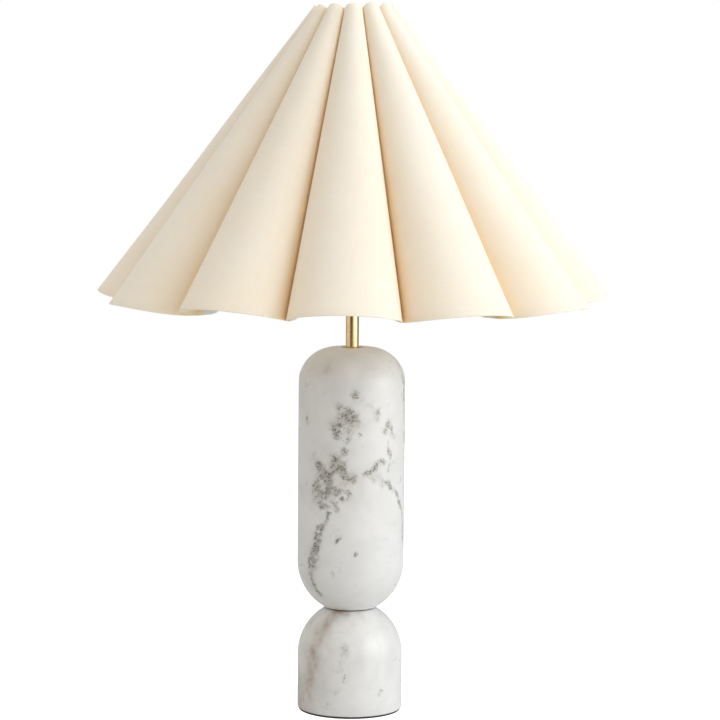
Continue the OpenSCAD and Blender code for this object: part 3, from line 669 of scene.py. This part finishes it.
def upperStone():
    # A tall capsule: half a ball below, a straight side, and a crown with a smaller
    # round at its shoulder and a seat sunk in its middle
    s, own = stoneSet, upperSet
    low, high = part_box("upper_stone")
    side, foot, top, shoulder = high.x, low.z, high.z, own["shoulder"]
    ballZ = foot + math.sqrt(side ** 2 - s["flat"] ** 2)
    lean = math.degrees(math.asin((ballZ - foot) / side))
    flatBevel, chamfer = s["flatBevel"], s["chamfer"]
    reach, deep = own["ringSeat"]
    outer = np.vstack([
        arc((s["flat"] - s["flatInset"], foot + flatBevel), flatBevel,
            -90, -s["flatTurn"], s["edgePoints"]),
        arc((0, ballZ), side, -lean + s["ballEnd"], 0, s["roundPoints"]),
        arc((side - shoulder, top - shoulder), shoulder, 0, 90, s["roundPoints"]),
        arc((reach + chamfer, top - chamfer), chamfer, 90, 180, s["edgePoints"]),
    ])
    bore, seatZ = s["bore"], top - deep
    inner = np.array([
        (reach, seatZ), (bore + chamfer, seatZ), (bore, seatZ - chamfer),
        (bore, foot + chamfer), (bore + chamfer, foot)])
    profile = np.vstack([denser(outer, s["spacing"]), denser(inner, own["spacing"])])
    return revolve("upperStone", profile, s["steps"], fields=stoneFields(own, 2 * np.pi * side))


for make, node in ((lowerStone, "lower_stone"), (upperStone, "upper_stone")):
    stone = make()
    stone.data.materials.append(materials["marble"])
    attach(stone, "lamp")
    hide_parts(node)
print("stones turned")


padSet = {
    "edge": 0.0007,         # radius of the round edges
    "edgePoints": 7,
    "spacing": 0.0025,
    "steps": 160,
    "waves": 0.00008,       # how far the underside lifts, on average
    "waveSizes": (38, 21),  # in millimetres
    "waveSeed": 31,
    "mostLift": 3,          # times that average
}


def footPad():
    # A flat disc with round edges, whose underside is lifted by a hair in broad waves,
    # as soft rubber is, and flat at its rim: waves (1 + ripples) (1 - (r / side)^4)
    s = padSet
    low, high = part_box("foot_pad")
    side, edge, waves = high.x, s["edge"], s["waves"]
    outer = np.vstack([
        [(0, low.z)],
        arc((side - edge, low.z + edge), edge, -90, 0, s["edgePoints"]),
        arc((side - edge, high.z - edge), edge, 0, 90, s["edgePoints"]),
        [(0, high.z)]])
    pad = revolve("footPad", denser(outer, s["spacing"]), s["steps"], closed=False)
    points = np.empty(len(pad.data.vertices) * 3)
    pad.data.vertices.foreach_get("co", points)
    points = points.reshape(-1, 3)
    under = points[:, 2] < (low.z + high.z) / 2
    out = np.hypot(points[:, 0], points[:, 1]) / side
    lift = waves * (1 + ripples(points, s["waveSeed"], s["waveSizes"])) * (1 - out ** 4)
    points[:, 2] += np.where(under, np.clip(lift, 0, s["mostLift"] * waves), 0)
    pad.data.vertices.foreach_set("co", points.ravel())
    pad.data.update()
    pad.data.materials.append(materials["padRubber"])
    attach(pad, "lamp")
    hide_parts("foot_pad")


footPad()
print("foot pad laid")


# The shade

shadeSet = {
    "flutes": 12,
    "height": 0.279,          # from the hem to the top, along a flute's crown
    "topRadius": 0.037,
    "seamShare": 0.5,         # a seam's depth, as a share of the flute's radius
    "cloth": 0.0012,
    "seamGap": 0.0002,
    "hemDip": 0.0122,         # the hem hangs lower at the creases
    "topDip": 0.006,
    "cornerRise": 0.0048,     # the seam's lower inner corner is cut round
    "cornerShare": 0.42,
    "hemStray": (1.5, 3.0, 3.5, 0.0, 2, 1, 0, 1, 2, 0, 4.5, 0.5),   # mm, flute by flute
    "topStray": (0.8, -0.8, -0.8, 0.3, 0.4, 0.6, 1.0, 2.2, 2.6, 2.2, 2.0, 1.5),
    "aroundFlute": 56,
    "aroundSeam": 9,
    "rows": 40,
    "creaseShadeStart": 0.62,        # painted crease shade, from here to the flute's end
    "creaseShadePower": 1.8,
    "flankShade": 0.10,      # a little painted shade, spread over the flute's flanks
    "flankShadeStep": (0.15, 0.60),
    "seamFade": 3,            # all of it is gone one third of the way into the seam
    "waver": 0.00024,         # how far the stiff cloth strays from a true cone
    "waverSeed": 41,
    "waverWaves": 6,
    "waverPace": (0.8, 1.7),  # of the slowest wave round a flute and up it
    "waverCalm": 0.6,         # how much calmer the cloth is at the top
    "goreApart": 0.31,        # between the gores, side by side on the flat cloth
    "rimBevel": 0.00028,
    "rimAngle": 50,           # degrees from which an edge is a rim
}
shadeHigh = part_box("shade_gores")[1]
hemRadius, shadeTopZ = shadeHigh.x, shadeHigh.z
hemZ = shadeTopZ - shadeSet["height"]
apexZ = hemZ + hemRadius * shadeSet["height"] / (hemRadius - shadeSet["topRadius"])
halfTurn = math.pi / shadeSet["flutes"]
wrap = math.pi / 2 + halfTurn
fluteCentre = hemRadius / (1 + math.sin(halfTurn))
fluteRadius = fluteCentre * math.sin(halfTurn)
creaseRadius = fluteCentre * math.cos(halfTurn)
seamEdge = creaseRadius - shadeSet["seamShare"] * fluteRadius


def clothPoint(angle, inSeam, rise, wall, hemStray=0.0, topStray=0.0):
    # A flute is a circle about a line to the cone's apex, and its seams run from the
    # circle's ends along the planes between flutes, towards the axis. Each point runs
    # straight from the wavy hem (rise 0) to the wavy top (rise 1), wall is its distance
    # from the plane between two flutes, and the strays lower the hem and the top between
    # the creases
    s = shadeSet
    dip = (1 - np.cos(angle)) / (1 - math.cos(wrap))
    turn = np.clip((inSeam - 1) / s["cornerShare"] + 1, 0, 1)
    corner = s["cornerRise"] * (1 - np.sqrt(1 - turn ** 2))
    ends = []
    for crown, depth, rounded, stray in ((hemZ, s["hemDip"], 1.0, hemStray),
                                         (shadeTopZ, s["topDip"], 0.0, topStray)):
        z = crown - depth * dip + rounded * corner - stray * (1 - np.abs(angle / wrap) ** 4)
        k = (apexZ - z) / (apexZ - hemZ)
        r = fluteRadius * k - wall
        out = (creaseRadius - inSeam * (creaseRadius - seamEdge)) * k
        side = np.sign(angle)
        atSeam = inSeam > 0
        x = np.where(atSeam, out * math.cos(halfTurn) + wall * math.sin(halfTurn),
                     fluteCentre * k + r * np.cos(angle))
        y = np.where(atSeam, side * (out * math.sin(halfTurn) - wall * math.cos(halfTurn)),
                     r * np.sin(angle))
        ends.append(np.stack([x, y, z + 0 * x], -1))
    return ends[0] + (ends[1] - ends[0]) * rise[..., None]


def turnedBy(points, angle):
    # (x cos a - y sin a, x sin a + y cos a, z)
    c, s = np.cos(angle), np.sin(angle)
    x, y = points[..., 0], points[..., 1]
    return np.stack([x * c - y * s, x * s + y * c, points[..., 2] + 0 * x], -1)


def fluteAngle(i):
    # Flute 0 faces the front, and the others follow anticlockwise from above
    return i * 2 * math.pi / shadeSet["flutes"] - math.pi / 2


def creaseShadeField(angle, inSeam):
    # Painted crease shade: 0 on a flute's crown, a little on its flanks, 1 at its ends, and
    # fading into the seam
    s = shadeSet
    share = np.abs(angle) / wrap
    creaseShade = np.clip((share - s["creaseShadeStart"]) / (1 - s["creaseShadeStart"]), 0, 1) ** s["creaseShadePower"]
    start, end = s["flankShadeStep"]
    flank = np.clip((share - start) / (end - start), 0, 1)
    creaseShade = creaseShade + s["flankShade"] * flank * (1 - creaseShade)
    return creaseShade * np.clip(1 - s["seamFade"] * inSeam, 0, 1)


def shadeCloth():
    # Twelve gores in one piece, each a flute with a seam allowance at both edges, pushed
    # in and out a little by its own waves sin(p angle + q rise + turn)
    s = shadeSet
    n = s["aroundSeam"]
    inSeam = np.concatenate([np.linspace(1, 1 / n, n), np.zeros(s["aroundFlute"] + 1),
                             np.linspace(1 / n, 1, n)])[:, None]
    angle = np.concatenate([np.full(n, -wrap), np.linspace(-wrap, wrap, s["aroundFlute"] + 1),
                            np.full(n, wrap)])[:, None]
    rise = np.linspace(0, 1, s["rows"] + 1)[None, :]
    inSeam, angle, rise = np.broadcast_arrays(inSeam, angle, rise)
    mid = s["seamGap"] / 2 + s["cloth"] / 2
    allowance = creaseRadius - seamEdge
    across = angle * fluteRadius + allowance * np.sign(angle) * inSeam
    slant = math.hypot(s["height"], hemRadius - s["topRadius"])
    taper = 1 - rise * (1 - s["topRadius"] / hemRadius)
    calm = np.cos(angle * np.pi / 2 / wrap) ** 2 * (1 - inSeam) * (1 - s["waverCalm"] * rise)
    roundPace, risePace = s["waverPace"]
    dice = np.random.default_rng(s["waverSeed"])
    points, flat = [], []
    for i in range(s["flutes"]):
        strays = s["hemStray"][i] / mm, s["topStray"][i] / mm
        base = clothPoint(angle, inSeam, rise, mid, *strays)
        inward = clothPoint(angle, inSeam, rise, mid + s["cloth"], *strays) - base
        inward /= np.linalg.norm(inward, axis=-1, keepdims=True)
        heights = dice.normal(0, 1, (s["waverWaves"], 2))[:, 0]
        turns = dice.uniform(0, 2 * np.pi, s["waverWaves"])
        sway = np.zeros(angle.shape)
        for j, (turn, height) in enumerate(zip(turns, heights)):
            phase = angle * (1 + j % 3) * roundPace + rise * (1 + j) * risePace + turn
            sway += height * np.sin(phase)
        shaped = base + inward * (s["waver"] * sway * calm)[..., None]
        points.append(turnedBy(shaped, fluteAngle(i)).reshape(-1, 3))
        laid = np.stack([across * taper + i * s["goreApart"], rise * slant], -1)
        flat.append(laid.reshape(-1, 2))
    faces = repeated(gridFaces(*angle.shape), angle.size, s["flutes"])
    # The painted crease shade, kept on the points for the cloth's materials
    creaseShade = np.tile(creaseShadeField(angle, inSeam).ravel(), s["flutes"])
    made = arrayMesh("shadeCloth", np.concatenate(points), faces, {"creaseShade": creaseShade},
                     np.concatenate(flat))
    for key in cloths:
        made.data.materials.append(materials[key])
    wall = made.modifiers.new("thickness", "SOLIDIFY")
    wall.thickness, wall.offset, wall.use_even_offset = s["cloth"], 0.0, True
    wall.material_offset, wall.material_offset_rim = 1, 2
    rim = made.modifiers.new("rim", "BEVEL")
    rim.width, rim.segments, rim.limit_method = s["rimBevel"], 2, "ANGLE"
    rim.angle_limit = math.radians(s["rimAngle"])
    applied(made)
    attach(made, "shade")
    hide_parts("shade_gores")


shadeCloth()


def tubesMesh(name, centres, across, up, radii, sides):
    # Many short closed tubes at once: centre + radius (cos t across + sin t up). centres
    # is (tube, ring, 3), across and up span each tube's rings, radii has one for a ring
    t = np.linspace(0, 2 * np.pi, sides, endpoint=False)[:, None]
    ring = np.cos(t) * across[:, None, None, :] + np.sin(t) * up[:, None, None, :]
    points = centres[:, :, None, :] + radii[None, :, None, None] * ring
    count, rings = centres.shape[:2]
    faces = gridFaces(rings, sides, wrapV=True, turned=True)
    made = arrayMesh(name, points.reshape(-1, 3), repeated(faces, rings * sides, count))
    return closePoles(made, 1e-7)


stitchSet = {
    "length": 0.0030,
    "step": 0.0044,                         # from one stitch to the next
    "radius": 0.00026,
    "girths": (0.0, 0.85, 1.0, 0.85, 0.0),  # along a stitch, against its radius
    "sides": 6,
    "stand": 0.3,                           # how far it stands off the cloth, in radii
    "line": 0.3,                            # how far into the seam the row runs
    "start": 0.012,                         # and where it starts, as shares
    "share": 0.97,                          # of the seam's length that it takes up
}


def seamStitches():
    # Straight stitches along both faces of every seam, a row that narrows to the top
    s = stitchSet
    face = shadeSet["seamGap"] / 2 + shadeSet["cloth"] + s["radius"] * s["stand"]
    narrowing = 1 - shadeSet["topRadius"] / hemRadius
    length = math.hypot(shadeSet["height"], creaseRadius * narrowing)
    count = int(length * s["share"] / s["step"])
    share = np.linspace(0, 1, len(s["girths"]))
    start = s["start"] + np.arange(count) * s["step"] / length
    along = start[:, None] + share[None, :] * s["length"] / length
    inSeam = np.full(along.shape, s["line"])
    made = []
    for side in (-1, 1):
        line = clothPoint(np.full(along.shape, side * wrap), inSeam, along, face)
        made.append(np.stack([turnedBy(line, fluteAngle(i)) for i in range(shadeSet["flutes"])]))
    centres = np.concatenate(made).reshape(-1, len(share), 3)
    run = centres[:, -1] - centres[:, 0]
    run /= np.linalg.norm(run, axis=1, keepdims=True)
    across = np.cross(run, [0, 0, 1.0])
    across /= np.linalg.norm(across, axis=1, keepdims=True)
    radii = s["radius"] * np.array(s["girths"])
    piece = tubesMesh("seamStitches", centres, np.cross(run, across), -across, radii, s["sides"])
    piece.data.materials.append(materials["threadCotton"])
    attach(piece, "shade")


seamStitches()


tieSet = {
    "thread": 0.0003,
    "wire": 0.0014,     # the rings' own radius
    "outward": 0.0014,  # from the wire's middle to the loop's
    "wide": 0.0032,     # half the loop, outwards
    "tall": 0.0019,     # half its height
    "uneven": 0.0001,   # one loop is taller and one shorter by this
    "lean": 0.0018,     # how far its top leans to one side
    "along": 28,        # points along the loop
    "sides": 8,
}


def ringTies():
    # Two crossed loops of thread hold each seam to each ring. Each is a tube about the
    # oval centre + wide cos(t) out + sin(t) tall, where tall leans to one side or the other
    s = tieSet
    turn = np.linspace(0, 2 * np.pi, s["along"], endpoint=False)[:, None]
    tube = np.linspace(0, 2 * np.pi, s["sides"], endpoint=False)[None, :, None]
    loops = []
    for node in ("hem_ring", "spider_frame"):
        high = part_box(node)[1]
        ringR, ringZ = high.x - s["wire"], high.z - s["wire"]
        for i in range(shadeSet["flutes"]):
            a = fluteAngle(i) + halfTurn
            out = np.array([math.cos(a), math.sin(a), 0])
            aside = np.array([-math.sin(a), math.cos(a), 0])
            centre = out * (ringR + s["outward"]) + np.array([0, 0, ringZ])
            for lean in (-1, 1):
                tall = np.array([0, 0, s["tall"] + s["uneven"] * lean]) + aside * s["lean"] * lean
                line = centre + s["wide"] * np.cos(turn) * out + np.sin(turn) * tall
                ahead = -s["wide"] * np.sin(turn) * out + np.cos(turn) * tall
                ahead /= np.linalg.norm(ahead, axis=1, keepdims=True)
                flatWay = np.cross(out, tall)
                flatWay /= np.linalg.norm(flatWay)
                other = np.cross(ahead, flatWay)
                ring = np.cos(tube) * flatWay + np.sin(tube) * other[:, None]
                loops.append((line[:, None] + s["thread"] * ring).reshape(-1, 3))
    faces = gridFaces(s["along"], s["sides"], wrapU=True, wrapV=True, turned=True)
    faces = repeated(faces, len(loops[0]), len(loops))
    piece = arrayMesh("ringTies", np.concatenate(loops), faces)
    piece.data.materials.append(materials["threadCotton"])
    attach(piece, "shade")


ringTies()
print("shade sewn")


# Finishes of the fittings

fittings = {
    "brass": ("cord_bushing", "brass_rod", "harp_saddle", "harp_wire", "ferrule_left",
              "ferrule_right", "terminal_screws", "centre_contact", "switch_stem"),
    "brassTurned": ("pipe_nut", "seat_ring", "check_ring", "harp_stud", "socket_cap",
                    "socket_shell", "finial"),
    "steel": ("recess_washer", "lock_washer", "threaded_pipe", "cap_screw"),
    "capAluminium": ("socket_insert", "bulb_cap"),
    "washerRubber": ("stone_washer",),
    "sleeveBoard": ("insulating_sleeve",),
    "blackPlastic": ("switch_block", "turn_knob"),
    "whiteGlass": ("bulb_glass",),
    "paintedWire": ("spider_frame", "hem_ring"),
}
for key, names in fittings.items():
    for node in names:
        nodes[node].data.materials.clear()
        nodes[node].data.materials.append(materials[key])
print("fittings finished")


# Floor, light and camera

studioSet = {
    "floorSize": 6.0,
    "floorSteps": 9,
    "floor": (0.66, 0.66, 0.66),
    "floorRough": 0.9,
    "floorSeen": 1.0,              # added where the camera sees the floor, not to its light
    "skyRight": 1.15,              # light from all round, near the horizon
    "skyLeft": 0.90,               # and a little warm
    "leftColour": (1.0, 0.975, 0.93),
    "skyBackRight": 0.18,          # behind the lamp
    "skyBackLeft": 0.50,
    "skyTop": 0.85,
    "skyDark": 0.10,               # behind the camera, where the studio is dark and warm
    "darkColour": (1.0, 0.68, 0.22),
    "darkWay": (-0.24, -0.97, 0.05),
    "skySeen": 1.0,                # what the camera sees past the floor
    "rightStep": (-0.15, 0.20),    # the sky's steps along X, Y, Z and the dark way
    "backStep": (0.12, 0.38),
    "topStep": (0.25, 0.85),
    "darkStep": (0.87, 0.94),
    "key": (2.38, -1.26, 0.90, 2.4, 1.6, 30.0),      # x, y, z, width, height, watts
    "fill": (-2.4, -1.6, 1.1, 1.2, 2.0, 1.0),
    "over": (0.9, -0.3, 2.6, 1.6, 1.6, 12.0),
    "keyColour": (0.97, 0.985, 1.0),
    "aimHeight": 0.42,             # what they are turned towards, on the lamp's axis
    "crown": (0.42, 0.26, 0.060),  # height, width, watts of the glow under the shade
    "crownColour": (1.0, 0.95, 0.86),
}
cameraSet = {
    "distance": 2.7, "height": 0.6216, "side": 0.0077, "pitch": 5.85, "roll": 0.47,
    "azimuth": 1.9, "lens": 139.25, "sensor": 36.0,
}


def floorSheet():
    # Flat paper, which the camera sees brighter than the light that it throws back
    s = studioSet
    run = np.linspace(-s["floorSize"] / 2, s["floorSize"] / 2, s["floorSteps"])
    x, y = np.meshgrid(run, run, indexing="ij")
    floor = gridMesh("floor", np.stack([x, y, 0 * x], -1))
    made, tree, shader = newMaterial("floorPaper", {
        "Base Color": (*s["floor"], 1), "Roughness": s["floorRough"],
        "Emission Color": (1, 1, 1, 1)})
    seen = wired(tree, "LightPath").outputs["Is Camera Ray"]
    tree.links.new(times(tree, seen, s["floorSeen"]), shader.inputs["Emission Strength"])
    floor.data.materials.append(made)


def areaLight(name, shape, where, wide, watts, colour):
    light = bpy.data.lights.new(name, "AREA")
    light.shape, light.size, light.energy, light.color = shape, wide, watts, colour
    made = linked(name, light)
    made.location = where
    return made


def lights():
    # Three large soft lights turned to the lamp, and a faint glow under the shade
    s = studioSet
    for name in ("key", "fill", "over"):
        x, y, z, wide, tall, watts = s[name]
        made = areaLight(name, "RECTANGLE", (x, y, z), wide, watts, s["keyColour"])
        made.data.size_y = tall
        aim = Vector((0, 0, s["aimHeight"])) - made.location
        made.rotation_euler = aim.to_track_quat("-Z", "Y").to_euler()
    height, wide, watts = s["crown"]
    made = areaLight("crown", "DISK", (0, 0, height), wide, watts, s["crownColour"])
    made.visible_camera = made.visible_glossy = False


def sky():
    # Bright to the right, less so to the left and behind, and dark by the camera
    s = studioSet
    world = bpy.data.worlds.new("studio")
    bpy.context.scene.world = world
    world.use_nodes = True
    tree = world.node_tree
    glow = tree.nodes["Background"]
    way = wired(tree, "TexCoord").outputs["Generated"]
    x, y, z = wired(tree, "SeparateXYZ", {0: way}).outputs
    facing = wired(tree, "VectorMath", {0: way, 1: s["darkWay"]}, operation="DOT_PRODUCT")
    front = between(tree, x, *s["rightStep"], s["skyLeft"], s["skyRight"])
    back = between(tree, x, *s["rightStep"], s["skyBackLeft"], s["skyBackRight"])
    level = blended(tree, between(tree, y, *s["backStep"]), front, back)
    level = blended(tree, between(tree, z, *s["topStep"]), level, s["skyTop"])
    dark = between(tree, facing.outputs["Value"], *s["darkStep"])
    level = blended(tree, dark, level, s["skyDark"])
    seen = wired(tree, "LightPath").outputs["Is Camera Ray"]
    tree.links.new(blended(tree, seen, level, s["skySeen"]), glow.inputs["Strength"])
    unseen = minus(tree, 1.0, seen)
    leftShare = times(tree, between(tree, x, *reversed(s["rightStep"])), unseen)
    tone = mixed(tree, leftShare, (1, 1, 1), s["leftColour"])
    colour = mixed(tree, times(tree, dark, unseen), tone, s["darkColour"])
    tree.links.new(colour, glow.inputs["Color"])


def cameraPlace():
    # The camera looks along +Y from the front, pitched down and rolled a little, and
    # then stands turned about the lamp's axis by its azimuth
    c = cameraSet
    lens = bpy.data.cameras.new("camera")
    lens.lens, lens.sensor_width = c["lens"], c["sensor"]
    eye = linked("camera", lens)
    about = Matrix.Rotation(math.radians(c["azimuth"]), 4, "Z")
    stand = Matrix.Translation((c["side"], -c["distance"], c["height"]))
    tip = Matrix.Rotation(math.radians(90 - c["pitch"]), 4, "X")
    roll = Matrix.Rotation(math.radians(c["roll"]), 4, "Z")
    eye.matrix_world = about @ stand @ tip @ roll
    bpy.context.scene.camera = eye


floorSheet()
lights()
sky()
cameraPlace()
bpy.context.scene.view_settings.view_transform = "Standard"
print("studio lit")
